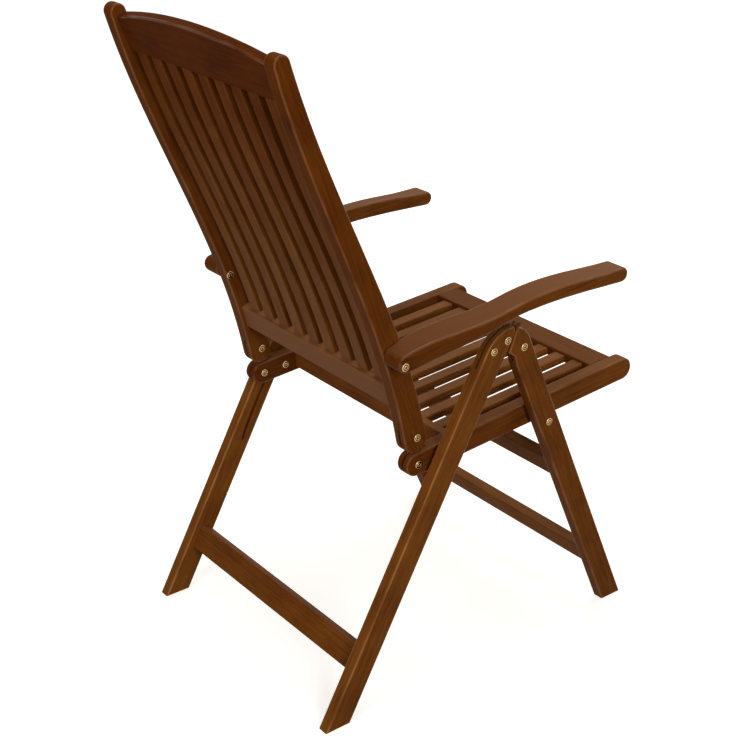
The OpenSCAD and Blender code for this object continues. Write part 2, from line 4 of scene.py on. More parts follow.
import bmesh
import bpy
import numpy as np
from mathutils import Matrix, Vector

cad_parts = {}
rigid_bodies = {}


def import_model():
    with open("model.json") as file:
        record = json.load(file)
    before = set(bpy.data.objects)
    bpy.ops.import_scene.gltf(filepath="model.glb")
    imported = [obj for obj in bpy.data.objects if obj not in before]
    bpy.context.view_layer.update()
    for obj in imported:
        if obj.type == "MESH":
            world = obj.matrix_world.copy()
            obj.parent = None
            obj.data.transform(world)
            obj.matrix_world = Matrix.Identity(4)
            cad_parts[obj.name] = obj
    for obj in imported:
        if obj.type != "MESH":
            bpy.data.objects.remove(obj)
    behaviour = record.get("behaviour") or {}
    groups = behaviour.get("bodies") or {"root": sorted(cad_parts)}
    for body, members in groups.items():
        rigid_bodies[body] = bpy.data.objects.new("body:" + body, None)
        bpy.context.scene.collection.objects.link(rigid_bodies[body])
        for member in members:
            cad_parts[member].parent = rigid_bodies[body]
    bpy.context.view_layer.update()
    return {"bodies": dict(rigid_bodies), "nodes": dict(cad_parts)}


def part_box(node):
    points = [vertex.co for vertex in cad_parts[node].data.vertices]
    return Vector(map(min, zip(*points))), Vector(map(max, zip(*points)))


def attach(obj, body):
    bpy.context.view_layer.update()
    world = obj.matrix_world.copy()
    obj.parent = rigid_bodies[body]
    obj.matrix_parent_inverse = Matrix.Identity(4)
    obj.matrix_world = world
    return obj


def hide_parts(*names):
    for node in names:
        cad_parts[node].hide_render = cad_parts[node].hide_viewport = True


bl_info = {
    "name": "Folding garden armchair",
    "version": (1, 0, 0),
    "blender": (4, 5, 0),
    "location": "3D View > Sidebar > Armchair",
    "description": "Dresses the folding garden armchair with eased boards, oiled hardwood and brass bolts",
    "category": "Object",
}

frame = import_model()

SIDES = ("left", "right")
SEAT_TILT = math.radians(4.2)
BACK_LEAN = math.radians(16.2)
SEAT_UP = Vector((0, math.sin(SEAT_TILT), math.cos(SEAT_TILT)))
BACK_UP = Vector((0, math.sin(BACK_LEAN), math.cos(BACK_LEAN)))
BACK_REAR = Vector((0, math.cos(BACK_LEAN), -math.sin(BACK_LEAN)))


# Colours and small helpers
def linear(hex_colour):
    """Linear RGBA of an sRGB hex colour."""
    parts = [int(hex_colour[i:i + 2], 16) / 255 for i in (1, 3, 5)]
    return tuple(c / 12.92 if c <= 0.04045 else ((c + 0.055) / 1.055) ** 2.4 for c in parts) + (1.0,)


def shaded(colour, share=1.0):
    """Opaque RGBA of a colour times one share, or times a share for each channel."""
    return (*np.minimum(1.0, np.array(colour) * share), 1.0)


def per_size(length, width):
    """Pattern scale of marks that are so many millimetres long along the grain and wide across it."""
    return (1000 / length, 1000 / width, 1000 / width)


def body_of(node):
    """Name of the CAD body that a node rides on."""
    parent = frame["nodes"][node].parent
    return next(name for name, empty in frame["bodies"].items() if empty == parent)


def add_node(tree, kind, settings=None, **links):
    """Add a shader node, set its fields and sockets, and link its inputs.

    A setting is a field's or a socket's name, or a socket's number. A link is a socket's name with
    underscores for spaces, or i and a socket's number.
    """
    node = tree.nodes.new(kind)
    for key, value in (settings or {}).items():
        if isinstance(key, str) and hasattr(node, key):
            setattr(node, key, value)
        else:
            node.inputs[key].default_value = value
    for key, source in links.items():
        numbered = key[0] == "i" and key[1:].isdigit()
        target = node.inputs[int(key[1:])] if numbered else node.inputs[key.replace("_", " ")]
        tree.links.new(source, target)
    return node


def new_material(name):
    """An empty node material with its output node."""
    material = bpy.data.materials.new(name)
    material.use_nodes = True
    material.node_tree.nodes.clear()
    output = material.node_tree.nodes.new("ShaderNodeOutputMaterial")
    return material, material.node_tree, output


def set_stops(ramp, stops):
    """Give a colour ramp its stops as (position, colour) pairs."""
    while len(ramp.elements) < len(stops):
        ramp.elements.new(0.5)
    for element, (place, colour) in zip(ramp.elements, stops):
        element.position = place
        element.color = colour


def stand_for(node, piece):
    """Put a new piece in the scene in place of a CAD node, on its body."""
    bpy.context.scene.collection.objects.link(piece)
    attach(piece, body_of(node))
    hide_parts(node)


# Sizes and colours that a user would change
class ChairWoodSettings(bpy.types.PropertyGroup):
    frame_round: bpy.props.FloatProperty(
        name="Frame edges", description="Rounding of the legs', rails' and stiles' edges",
        default=0.0024, min=0.0005, max=0.005, unit="LENGTH")
    arm_round: bpy.props.FloatProperty(
        name="Armrest edges", description="Rounding of the armrests' edges",
        default=0.0032, min=0.001, max=0.007, unit="LENGTH")
    arm_slope: bpy.props.FloatProperty(
        name="Armrest slope", description="Fall of an armrest's top from its inner to its outer edge",
        default=0.009, min=0, max=0.014, unit="LENGTH")
    crest_round: bpy.props.FloatProperty(
        name="Crest edges", description="Rounding of the crest rail's edges",
        default=0.003, min=0.001, max=0.008, unit="LENGTH")
    slat_round: bpy.props.FloatProperty(
        name="Slat edges", description="Rounding of the back slats' edges",
        default=0.0016, min=0.0005, max=0.004, unit="LENGTH")
    rail_depth: bpy.props.FloatProperty(
        name="Bottom rail depth", description="Depth of the back's bottom rail against its plain board",
        default=1.16, min=0.9, max=1.4, subtype="FACTOR")
    rail_thickness: bpy.props.FloatProperty(
        name="Bottom rail thickness",
        description="Thickness of the back's bottom rail against its plain board",
        default=1.46, min=0.9, max=1.5, subtype="FACTOR")
    slat_depth: bpy.props.FloatProperty(
        name="Seat slat depth", description="Depth of a seat slat against its plain board",
        default=1.34, min=0.8, max=1.5, subtype="FACTOR")
    dark: bpy.props.FloatVectorProperty(
        name="Dark grain", description="Colour of the late wood and pores",
        default=linear("#4E290C")[:3], size=3, subtype="COLOR", min=0, max=1)
    middle: bpy.props.FloatVectorProperty(
        name="Oiled wood", description="Main colour of the oiled wood",
        default=linear("#734218")[:3], size=3, subtype="COLOR", min=0, max=1)
    light: bpy.props.FloatVectorProperty(
        name="Light grain", description="Colour of the early wood and, brightened, of rubbed edges",
        default=linear("#855422")[:3], size=3, subtype="COLOR", min=0, max=1)
    # Painted sheen: this paler, greyer colour is mixed into faces turned up and to the rear
    sheen_colour: bpy.props.FloatVectorProperty(
        name="Bleached faces", description="Paler, greyer tone that sun and rain give to faces in the open",
        default=linear("#7C5437")[:3], size=3, subtype="COLOR", min=0, max=1)


class ChairMetalSettings(bpy.types.PropertyGroup):
    brass: bpy.props.FloatVectorProperty(
        name="Bolts", description="Colour of the brass-plated bolt heads",
        default=linear("#C2A272")[:3], size=3, subtype="COLOR", min=0, max=1)
    plate: bpy.props.FloatVectorProperty(
        name="Plates", description="Colour of the dulled plates in the saw cuts",
        default=linear("#5E4C2C")[:3], size=3, subtype="COLOR", min=0, max=1)


class ChairStageSettings(bpy.types.PropertyGroup):
    floor: bpy.props.FloatVectorProperty(
        name="Floor", description="Colour of the floor",
        default=linear("#F2F2F0")[:3], size=3, subtype="COLOR", min=0, max=1)
    key: bpy.props.FloatProperty(
        name="Overhead light", description="Power of the soft light above the chair",
        default=30.0, min=0, unit="POWER")
    rear: bpy.props.FloatProperty(
        name="Rear light", description="Power of the soft light behind the chair",
        default=46.0, min=0, unit="POWER")
    front: bpy.props.FloatProperty(
        name="Front light", description="Power of the soft light before the chair",
        default=46.0, min=0, unit="POWER")
    side: bpy.props.FloatProperty(
        name="Side light", description="Power of the soft light on the camera's side",
        default=56.0, min=0, unit="POWER")


# Materials
# A wave texture repeats after this length at scale 1
WAVE_REPEAT = 0.314


def grain_patterns(tree, grain):
    """Streaks, fibres, growth rings, slow shifts of tone and pores along a board's own grain."""
    wide = add_node(tree, "ShaderNodeVectorMath",
                    {"operation": "MULTIPLY", "label": "streaks", 1: per_size(75, 6)}, i0=grain)
    streak = add_node(tree, "ShaderNodeTexNoise",
                      {"Scale": 1.0, "Detail": 3.0, "Roughness": 0.55, "Distortion": 0.6},
                      Vector=wide.outputs[0])
    # Fibres are drawn coarser than real ones, so that they show
    thin = add_node(tree, "ShaderNodeVectorMath",
                    {"operation": "MULTIPLY", "label": "fibres", 1: per_size(22, 1.4)}, i0=grain)
    fibre = add_node(tree, "ShaderNodeTexNoise", {"Scale": 1.0, "Detail": 2.0, "Roughness": 0.6},
                     Vector=thin.outputs[0])
    # Growth rings 5 mm apart about a pith outside the board, drawn out along the grain
    drawn = add_node(tree, "ShaderNodeVectorMath",
                     {"operation": "MULTIPLY_ADD", "label": "rings", 1: (0.05, 1.0, 1.0),
                      2: (0.0, 0.055, 0.038)}, i0=grain)
    ring = add_node(tree, "ShaderNodeTexWave",
                    {"wave_type": "RINGS", "rings_direction": "X", "Scale": WAVE_REPEAT / 0.005,
                     "Distortion": 2.4, "Detail": 2.0, "Detail Scale": 0.8, "Detail Roughness": 0.5},
                    Vector=drawn.outputs[0])
    # Slow shifts of tone 80 mm across
    slow = add_node(tree, "ShaderNodeTexNoise", {"Scale": 1 / 0.08, "Detail": 2.0}, Vector=grain)
    # Pores are drawn coarser than real ones too
    dash = add_node(tree, "ShaderNodeVectorMath",
                    {"operation": "MULTIPLY", "label": "pores", 1: per_size(9, 1.1)}, i0=grain)
    pore = add_node(tree, "ShaderNodeTexNoise", {"Scale": 1.0, "Detail": 0.0}, Vector=dash.outputs[0])
    pit = add_node(tree, "ShaderNodeMapRange",
                   {"From Min": 0.62, "From Max": 0.72, "To Min": 0.0, "To Max": 1.0},
                   Value=pore.outputs["Fac"])
    return (*[noise.outputs["Fac"] for noise in (streak, fibre, ring, slow)], pit.outputs[0])


def oiled_hardwood(name="oiled_hardwood", sheen=0.08):
    """Planed eucalyptus with a rubbed oil finish."""
    # A warm red-brown with soft long streaks and a satin sheen, a painted highlight on eased edges and
    # painted sheen on faces turned up and to the rear
    found = bpy.data.materials.get(name)
    if found:
        return found
    wood = bpy.context.scene.chair_wood
    material, tree, output = new_material(name)
    grain, tint, highlight_and_polish, painted_sheen = (add_node(tree, "ShaderNodeAttribute", {"attribute_name": mark}).outputs
                                 for mark in ("grain", "tint", "highlight_and_polish", "painted_sheen"))
    streak, fibre, ring, slow, pit = grain_patterns(tree, grain["Vector"])
    mixed = streak
    mixes = {}
    for label, share, pattern in (("rings", 0.09, ring), ("fibres", 0.22, fibre), ("slow", 0.36, slow)):
        mixed = add_node(tree, "ShaderNodeMix", {"data_type": "FLOAT", "Factor": share, "label": label},
                         i2=mixed, i3=pattern).outputs[0]
        mixes[label] = mixed
    tone = add_node(tree, "ShaderNodeValToRGB", None, Fac=mixed)
    set_stops(tone.color_ramp, [(0.28, shaded(wood.dark)), (0.5, shaded(wood.middle)),
                                (0.74, shaded(wood.light))])
    # Pores are short dark dashes
    pore_tone = add_node(tree, "ShaderNodeMapRange", {"To Min": 1.0, "To Max": 0.55}, Value=pit)
    pitted = add_node(tree, "ShaderNodeMix",
                      {"data_type": "RGBA", "blend_type": "MULTIPLY", "Factor": 0.3},
                      i6=tone.outputs["Color"], i7=pore_tone.outputs[0])
    # Painted highlight: eased edges are painted paler, in patches
    highlight_patches = add_node(tree, "ShaderNodeMapRange",
                   {"From Min": 0.35, "From Max": 0.7, "To Min": 0.0, "To Max": 0.5}, Value=slow)
    highlighted = add_node(tree, "ShaderNodeMath", {"operation": "MULTIPLY"}, i0=highlight_and_polish["Fac"], i1=highlight_patches.outputs[0])
    edged = add_node(tree, "ShaderNodeMix", {"data_type": "RGBA", 7: shaded(wood.light, 1.6)},
                     i0=highlighted.outputs[0], i6=pitted.outputs[2])
    # Painted sheen: faces turned up and to the rear are paler and greyer, in streaks
    streaked = add_node(tree, "ShaderNodeMapRange",
                        {"From Min": 0.3, "From Max": 0.7, "To Min": 0.45, "To Max": 0.95}, Value=streak)
    weather = add_node(tree, "ShaderNodeMath", {"operation": "MULTIPLY"},
                       i0=painted_sheen["Fac"], i1=streaked.outputs[0])
    with_sheen = add_node(tree, "ShaderNodeMix", {"data_type": "RGBA", 7: shaded(wood.sheen_colour)},
                     i0=weather.outputs[0], i6=edged.outputs[2])
    toned = add_node(tree, "ShaderNodeVectorMath", {"operation": "MULTIPLY"},
                     i0=with_sheen.outputs[2], i1=tint["Vector"])
    # Pores are sunk and fibres stand a little proud
    relief = add_node(tree, "ShaderNodeMath", {"operation": "MULTIPLY_ADD", 1: -0.8}, i0=pit, i2=fibre)
    bump = add_node(tree, "ShaderNodeBump", {"Strength": 0.35, "Distance": 0.00015},
                    Height=relief.outputs[0])
    gloss = add_node(tree, "ShaderNodeMapRange", {"To Min": 0.48, "To Max": 0.66}, Value=mixes["fibres"])
    # Hands polish the eased edges
    shiny = add_node(tree, "ShaderNodeMapRange",
                     {"From Min": 0.3, "From Max": 0.7, "To Min": 0.1, "To Max": 0.75}, Value=streak)
    polish = add_node(tree, "ShaderNodeMath", {"operation": "MULTIPLY"},
                      i0=highlight_and_polish["Fac"], i1=shiny.outputs[0])
    shader = add_node(tree, "ShaderNodeBsdfPrincipled",
                      {"IOR": 1.25, "Specular IOR Level": sheen, "Coat Roughness": 0.22, "Coat IOR": 1.35},
                      Base_Color=toned.outputs[0], Roughness=gloss.outputs[0], Normal=bump.outputs[0],
                      Coat_Weight=polish.outputs[0])
    tree.links.new(shader.outputs[0], output.inputs[0])
    return material


def soaked_hardwood():
    """The same eucalyptus where it has drunk more oil."""
    # More matt, as on the back's dark crest, stiles and slats
    return oiled_hardwood("soaked_hardwood", 0.025)


def plated_brass():
    """Brass-plated steel bolt heads, turned and lightly tarnished."""
    # A warm yellow metal with soft highlights and painted shade in the recesses
    found = bpy.data.materials.get("plated_brass")
    if found:
        return found
    metal = bpy.context.scene.chair_metal
    material, tree, output = new_material("plated_brass")
    place = add_node(tree, "ShaderNodeTexCoord").outputs["Object"]
    # Tarnish in patches of 3 mm
    patch = add_node(tree, "ShaderNodeTexNoise", {"Scale": 1 / 0.003, "Detail": 3.0}, Vector=place)
    tone = add_node(tree, "ShaderNodeValToRGB", None, Fac=patch.outputs["Fac"])
    set_stops(tone.color_ramp, [(0.35, shaded(metal.brass, 0.6)), (0.62, shaded(metal.brass))])
    # Painted shade round the head, in its groove and in its socket
    painted_recess_shade = add_node(tree, "ShaderNodeAttribute", {"attribute_name": "painted_recess_shade"})
    recess_shaded = add_node(tree, "ShaderNodeMix",
                     {"data_type": "RGBA", 7: shaded(metal.brass, (0.10, 0.075, 0.05))},
                     i0=painted_recess_shade.outputs["Fac"], i6=tone.outputs["Color"])
    gloss = add_node(tree, "ShaderNodeMapRange", {"To Min": 0.3, "To Max": 0.16},
                     Value=patch.outputs["Fac"])
    shader = add_node(tree, "ShaderNodeBsdfPrincipled", {"Metallic": 1.0},
                      Base_Color=recess_shaded.outputs[2], Roughness=gloss.outputs[0])
    tree.links.new(shader.outputs[0], output.inputs[0])
    return material


def dulled_plate():
    """Rolled brass plate, dulled by weather."""
    # A dark olive-brown metal with faint rolling lines and almost no highlight
    found = bpy.data.materials.get("dulled_plate")
    if found:
        return found
    metal = bpy.context.scene.chair_metal
    material, tree, output = new_material("dulled_plate")
    place = add_node(tree, "ShaderNodeTexCoord").outputs["Object"]
    # Rolling lines 1 mm apart and 30 mm long, drawn coarser than real ones so that they show
    rolled = add_node(tree, "ShaderNodeVectorMath",
                      {"operation": "MULTIPLY", 1: (1 / 0.001, 1 / 0.03, 1 / 0.001)}, i0=place)
    line = add_node(tree, "ShaderNodeTexNoise", {"Scale": 1.0, "Detail": 3.0},
                    Vector=rolled.outputs[0]).outputs["Fac"]
    tone = add_node(tree, "ShaderNodeValToRGB", None, Fac=line)
    set_stops(tone.color_ramp, [(0.3, shaded(metal.plate, 0.5)), (0.7, shaded(metal.plate))])
    gloss = add_node(tree, "ShaderNodeMapRange", {"To Min": 0.45, "To Max": 0.65}, Value=line)
    bump = add_node(tree, "ShaderNodeBump", {"Strength": 0.2, "Distance": 0.0001}, Height=line)
    shader = add_node(tree, "ShaderNodeBsdfPrincipled", {"Metallic": 1.0},
                      Base_Color=tone.outputs["Color"], Roughness=gloss.outputs[0],
                      Normal=bump.outputs[0])
    tree.links.new(shader.outputs[0], output.inputs[0])
    return material


# Edges of boards
# Two places closer than this are the same
SAME_PLACE = 1e-5
# Faces of a board that meet at more than this angle, in radians, form an edge
CORNER_ANGLE = 1.0
# A curved slat's side faces have no long edge shorter than this
LONG_EDGE = 0.012


def is_corner(edge):
    """Whether two faces of a board meet at an edge, and not one face with its own curve."""
    return len(edge.link_faces) == 2 and edge.calc_face_angle() > CORNER_ANGLE


def lies_at(edge, x):
    """Whether an edge lies in the plane at an X."""
    return all(abs(vert.co.x - x) < SAME_PLACE for vert in edge.verts)


def side_planes(bm):
    """X of a board's two side faces."""
    xs = [vert.co.x for vert in bm.verts]
    return min(xs), max(xs)


def take_loop(rim):
    """Take one loop of linked edges out of a set of edges."""
    loop, todo = set(), [rim.pop()]
    while todo:
        edge = todo.pop()
        loop.add(edge)
        for other in [linked for vert in edge.verts for linked in vert.link_edges]:
            if other in rim:
                rim.discard(other)
                todo.append(other)
    return loop


def loop_reach(loop):
    """Depth and height of a loop of edges, added up."""
    spots = [vert.co for edge in loop for vert in edge.verts]
    return sum(max(spot[i] for spot in spots) - min(spot[i] for spot in spots) for i in (1, 2))


def outline_edges(bm):
    """The edges of a board's outline on its two side faces, without its holes and slots."""
    chosen = []
    for x in side_planes(bm):
        rim = {edge for edge in bm.edges if lies_at(edge, x) and is_corner(edge)}
        loops = []
        while rim:
            loops.append(take_loop(rim))
        chosen += max(loops, key=loop_reach)
    return chosen


def long_side_edges(bm):
    """The long edges of a curved slat, on its two side faces."""
    planes = side_planes(bm)
    return [edge for edge in bm.edges
            if edge.calc_length() > LONG_EDGE and is_corner(edge) and any(lies_at(edge, x) for x in planes)]


def crest_edges(bm):
    """The crest rail's arched edges, not its straight lower ones nor those against the stiles."""
    reach = max(side_planes(bm))
    return [edge for edge in bm.edges if is_corner(edge)
            and not all(abs(abs(vert.co.x) - reach) < SAME_PLACE for vert in edge.verts)]


# Changes of form
# How far the crown of an armrest's top line is eased
CROWN_EASE = 0.0025
# Shares of an armrest's length from its rear end, and the share of the ease or the slope at each
CROWN_RUN = ((0.15, 0.3, 0.45, 0.55, 0.75), (0, 0.6, 1, 0.8, 0))
SLOPE_RUN = ((0, 0.1, 0.26, 0.45, 0.85, 1), (0, 0.6, 1, 0.75, 0.45, 0))


def stretched(bm, axis, factor, fixed):
    """Scale a board along an axis about its upper (1) or lower (-1) side on that axis."""
    level = fixed * max(fixed * vert.co.dot(axis) for vert in bm.verts)
    for vert in bm.verts:
        vert.co += axis * (vert.co.dot(axis) - level) * (factor - 1.0)


def full_section(bm):
    """Give the back's bottom rail its full depth and thickness, from its top and front faces."""
    wood = bpy.context.scene.chair_wood
    stretched(bm, BACK_UP, wood.rail_depth, 1)
    stretched(bm, BACK_REAR, wood.rail_thickness, -1)


def deepened(bm):
    """Deepen a seat slat, hung from its top face so that only its underside moves."""
    stretched(bm, SEAT_UP, bpy.context.scene.chair_wood.slat_depth, 1)


def thickened(bm, rear=0.0015, front=0.0025):
    """Move a curved slat's rear and front faces outward."""
    moves = {}
    for face in bm.faces:
        # Neither a side face nor an end
        if abs(face.normal.x) < 0.5 and abs(face.normal.y) > 0.7:
            for vert in face.verts:
                moves.setdefault(vert, []).append(face.normal.copy())
    for vert, normals in moves.items():
        out = sum(normals, Vector()).normalized()
        vert.co += out * (rear if out.y > 0 else front)


def sloped_top(bm):
    """Let an armrest's top fall outward, most behind its middle, and ease the crown of its top line."""
    drop = bpy.context.scene.chair_wood.arm_slope
    outer = max(abs(vert.co.x) for vert in bm.verts)
    front = min(vert.co.y for vert in bm.verts)
    rear = max(vert.co.y for vert in bm.verts)
    # The top is made of the faces that look upward
    for vert in {vert for face in bm.faces if face.normal.z > 0.3 for vert in face.verts}:
        share = (rear - vert.co.y) / (rear - front)
        vert.co.z -= CROWN_EASE * float(np.interp(share, *CROWN_RUN))
        on_outer_side = outer - abs(vert.co.x) < 1e-4
        if on_outer_side:
            vert.co.z -= drop * float(np.interp(share, *SLOPE_RUN))


# Boards
# Lightness of each kind of board against the wood's own colour; the crest rail's low value is painted shade
# on its down-turned rear face
TONES = {"rear_leg": 1.12, "front_leg": 0.93, "stretcher": 1.12, "seat_rail": 0.84, "seat_board": 0.94,
         "back_stile": 0.87, "crest_rail": 0.59, "bottom_rail": 1.15, "back_slat": 0.99, "armrest": 0.86}
# X of a seat slat and its lightness, darker towards the side that an armrest shades in the photo
SEAT_SLAT_TONES = ((-0.2, 0.2), (1.12, 1.36))
# Painted sheen on the back's rear faces is strongest near the seat: height, and how much
REAR_SHEEN_REACH = ((0.55, 1.0), (1.0, 0.05))
# Lighter wood is less red, but no further than at this lightness
WARMEST = 1.12


def tint_for(number):
    """A board's own lightness, since each is cut from another part of the tree."""
    return 1.0 + 0.10 * math.sin(number * 2.63 + 0.7)


def share_past(value, start, span):
    """How far a value is past a start, as a share of a span, from 0 to 1."""
    return min(1.0, max(0.0, (value - start) / span))


def mark_painted_sheen(bm, skylight, rear_sheen):
    """Mark the painted sheen on each face turned up, and on each face turned to the rear."""
    painted_sheen = bm.faces.layers.float.new("painted_sheen")
    for face in bm.faces:
        upward = skylight * share_past(face.normal.z, 0.55, 0.42)
        low = float(np.interp(face.calc_center_median().z, *REAR_SHEEN_REACH))
        face[painted_sheen] = max(upward, rear_sheen * low * share_past(face.normal.y, 0.5, 0.3))


def mark_grain(mesh, number, tint, lean):
    """Give a board its own stretch of grain along its length, and its tint."""
    spots = np.array([vert.co for vert in mesh.vertices])
    middle = spots.mean(axis=0)
    axes = np.linalg.svd(spots - middle, full_matrices=False)[2]
    local = (spots - middle) @ axes.T
    # Each board is cut from another place in the tree
    local += np.array([0.731 * number, 0.013 * math.sin(number * 2.4), 0.011 * math.cos(number * 1.7)])
    grain = mesh.attributes.new("grain", "FLOAT_VECTOR", "POINT")
    grain.data.foreach_set("vector", local.astype(np.float32).ravel())
    tones = tint * (1.0 + (spots - middle) @ np.array(lean, float))
    # Darker wood is redder too
    warmth = np.minimum(tones, WARMEST)
    channels = np.stack((tones, tones * warmth ** 0.5, tones * warmth), 1)
    shade = mesh.attributes.new("tint", "FLOAT_VECTOR", "POINT")
    shade.data.foreach_set("vector", channels.astype(np.float32).ravel())


def board(node, number, tint, pick=None, width=0.0, shape=None, lean=(0, 0, 0),
          skylight=1.0, rear_sheen=0.0, highlighted=1.0, finish=oiled_hardwood):
    """Copy a CAD board to a new mesh, shape it, round the picked edges and give it grain, a painted
    highlight and polish on those edges, and painted sheen.

    The tint changes along the board by lean's share for each metre of X, Y and Z.
    """
    bm = bmesh.new()
    bm.from_mesh(frame["nodes"][node].data)
    bmesh.ops.remove_doubles(bm, verts=bm.verts, dist=SAME_PLACE)
    bmesh.ops.dissolve_limit(bm, angle_limit=math.radians(0.4), verts=bm.verts, edges=bm.edges)
    if shape:
        shape(bm)
    highlight_and_polish = bm.faces.layers.float.new("highlight_and_polish")
    if pick:
        made = bmesh.ops.bevel(bm, geom=list(pick(bm)), offset=width, offset_type="OFFSET", segments=3,
                               profile=0.5, affect="EDGES", clamp_overlap=False, material=-1)
        # Bevel faces carry the painted highlight and the polish
        for face in made["faces"]:
            face[highlight_and_polish] = highlighted
    bmesh.ops.recalc_face_normals(bm, faces=bm.faces)
    mark_painted_sheen(bm, skylight, rear_sheen)
    mesh = bpy.data.meshes.new(node + "_wood")
    bm.to_mesh(mesh)
    bm.free()
    mark_grain(mesh, number, tint, lean)
    mesh.shade_smooth()
    mesh.set_sharp_from_angle(angle=math.radians(35))
    mesh.materials.append(finish())
    piece = bpy.data.objects.new(node + "_board", mesh)
    weights = piece.modifiers.new("even shading", "WEIGHTED_NORMAL")
    weights.keep_sharp = True
    stand_for(node, piece)


class CHAIR_OT_legs(bpy.types.Operator):
    """Ease the four legs and give them their grain"""
    bl_idname = "chair.legs"
    bl_label = "Legs"

    def execute(self, context):
        ease = context.scene.chair_wood.frame_round
        kinds = [(kind, side) for kind in ("rear_leg", "front_leg") for side in SIDES]
        for number, (kind, side) in enumerate(kinds):
            # Rear legs get a brighter painted highlight on their eased edges
            board(f"{kind}_{side}", number, TONES[kind] * tint_for(number),
                  outline_edges, ease, highlighted=1.4 if kind == "rear_leg" else 1.0)
        return {"FINISHED"}


class CHAIR_OT_stretchers(bpy.types.Operator):
    """Finish the stretchers between the legs"""
    bl_idname = "chair.stretchers"
    bl_label = "Stretchers"

    def execute(self, context):
        stretchers = ("rear_stretcher", "front_low_stretcher", "front_high_stretcher")
        for number, node in enumerate(stretchers, 4):
            board(node, number, TONES["stretcher"] * tint_for(number))
        return {"FINISHED"}


class CHAIR_OT_seat(bpy.types.Operator):
    """Finish the seat's rails, boards and slats"""
    bl_idname = "chair.seat"
    bl_label = "Seat"

    def execute(self, context):
        ease = context.scene.chair_wood.frame_round
        for number, side in enumerate(SIDES, 7):
            # The seat rails darken towards their rear ends: painted shade by the back's foot
            board(f"seat_rail_{side}", number, TONES["seat_rail"] * tint_for(number),
                  outline_edges, ease, lean=(0, -0.9, 0))
        for number, node in enumerate(("seat_front_board", "seat_rear_board"), 9):
            board(node, number, TONES["seat_board"] * tint_for(number))
        for number in range(11, 20):
            node = f"seat_slat_{number - 10}"
            low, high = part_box(node)
            tone = float(np.interp((low[0] + high[0]) / 2, *SEAT_SLAT_TONES))
            board(node, number, tone * tint_for(number), shape=deepened)
        return {"FINISHED"}


class CHAIR_OT_back(bpy.types.Operator):
    """Ease the back's stiles, crest and slats, and give its bottom rail its full section"""
    bl_idname = "chair.back"
    bl_label = "Back"

    def execute(self, context):
        wood = context.scene.chair_wood
        # Stiles, bottom rail and slats get painted sheen on their rear faces, strongest near the seat
        for number, side in enumerate(SIDES, 20):
            board(f"back_stile_{side}", number, TONES["back_stile"] * tint_for(number),
                  outline_edges, wood.frame_round, lean=(0, 0, -0.35), rear_sheen=0.7,
                  finish=soaked_hardwood)
        # Little painted sheen on the crest rail's top
        board("crest_rail", 22, TONES["crest_rail"], crest_edges, wood.crest_round,
              skylight=0.1, finish=soaked_hardwood)
        board("back_bottom_rail", 23, TONES["bottom_rail"], shape=full_section, rear_sheen=1.5)
        for number in range(31, 40):
            board(f"back_slat_{number - 30}", number, TONES["back_slat"] * tint_for(number),
                  long_side_edges, wood.slat_round, shape=thickened, lean=(0, 0, -0.95), rear_sheen=1.3,
                  highlighted=0.3, finish=soaked_hardwood)
        return {"FINISHED"}


class CHAIR_OT_armrests(bpy.types.Operator):
    """Round the two shaped armrests"""
    bl_idname = "chair.armrests"
    bl_label = "Armrests"

    def execute(self, context):
        ease = context.scene.chair_wood.arm_round
        for number, side in enumerate(SIDES, 41):
            # Armrest tops get extra painted sheen
            board(f"armrest_{side}", number, TONES["armrest"], outline_edges, ease,
                  shape=sloped_top, lean=(0, -1.0, 0), skylight=1.7)
        return {"FINISHED"}


# Bolts
HEAD_RADIUS = 0.007
HEAD_HEIGHT = 0.0026
# Running clearance between a spacer or a collar and the wood beside it
PLAY = 0.0003
# Chamfer at the open end of a bolt
TIP = 0.0006
# Shafts of the pivots and sleeves, of the other bolts, and of the end that runs in a slot
PIVOT_RADIUS = 0.004
SHANK_RADIUS = 0.003
RUNNER_RADIUS = 0.0028
SPACER_RADIUS = 0.008
COLLAR_RADIUS = 0.007
# The hole in a sleeve nut, and how far from its head it ends
BORE_RADIUS = 0.00305
BORE_END = 0.0103
# Share of the head's radius, share of its height, sides where it isn't round, and painted shade
HEAD_PROFILE = (
    (1.0, 0.0, 0, 1), (1.0, 0.34, 0, 0.7), (0.965, 0.56, 0, 0.2), (0.88, 0.78, 0, 0), (0.78, 0.86, 0, 0),
    (0.70, 0.80, 0, 0.3), (0.64, 0.45, 0, 1), (0.54, 0.45, 0, 1), (0.49, 0.84, 0, 0.2), (0.42, 0.98, 0, 0),
    (0.33, 0.96, 0, 0), (0.28, 0.88, 6, 0.2), (0.26, 0.5, 6, 0.9), (0.25, 0.3, 6, 1))


def bridge(bm, loops):
    """Join loops of as many corners each with faces, and close both ends."""
    for one, two in zip(loops, loops[1:]):
        for i in range(len(one)):
            after = (i + 1) % len(one)
            bm.faces.new((one[i], one[after], two[after], two[i]))
    bm.faces.new(loops[0])
    bm.faces.new(loops[-1])


def turned(bm, rings, centre, count=36):
    """Join rings of (x, radius, sides, painted shade) about an axis along X into a closed turned form.

    A ring of only (x, radius) is round and unshaded.
    """
    painted_recess_shade = bm.verts.layers.float.get("painted_recess_shade") or bm.verts.layers.float.new("painted_recess_shade")
    loops = []
    for x, radius, *more in rings:
        sides, recess_shade = more or (0, 0)
        loop = []
        for i in range(count):
            angle = 2 * math.pi * i / count
            reach = radius
            if sides:
                step = 2 * math.pi / sides
                reach = radius * math.cos(step / 2) / math.cos((angle % step) - step / 2)
            y, z = centre[0] + reach * math.cos(angle), centre[1] + reach * math.sin(angle)
            vert = bm.verts.new((x, y, z))
            vert[painted_recess_shade] = recess_shade
            loop.append(vert)
        loops.append(loop)
    bridge(bm, loops)


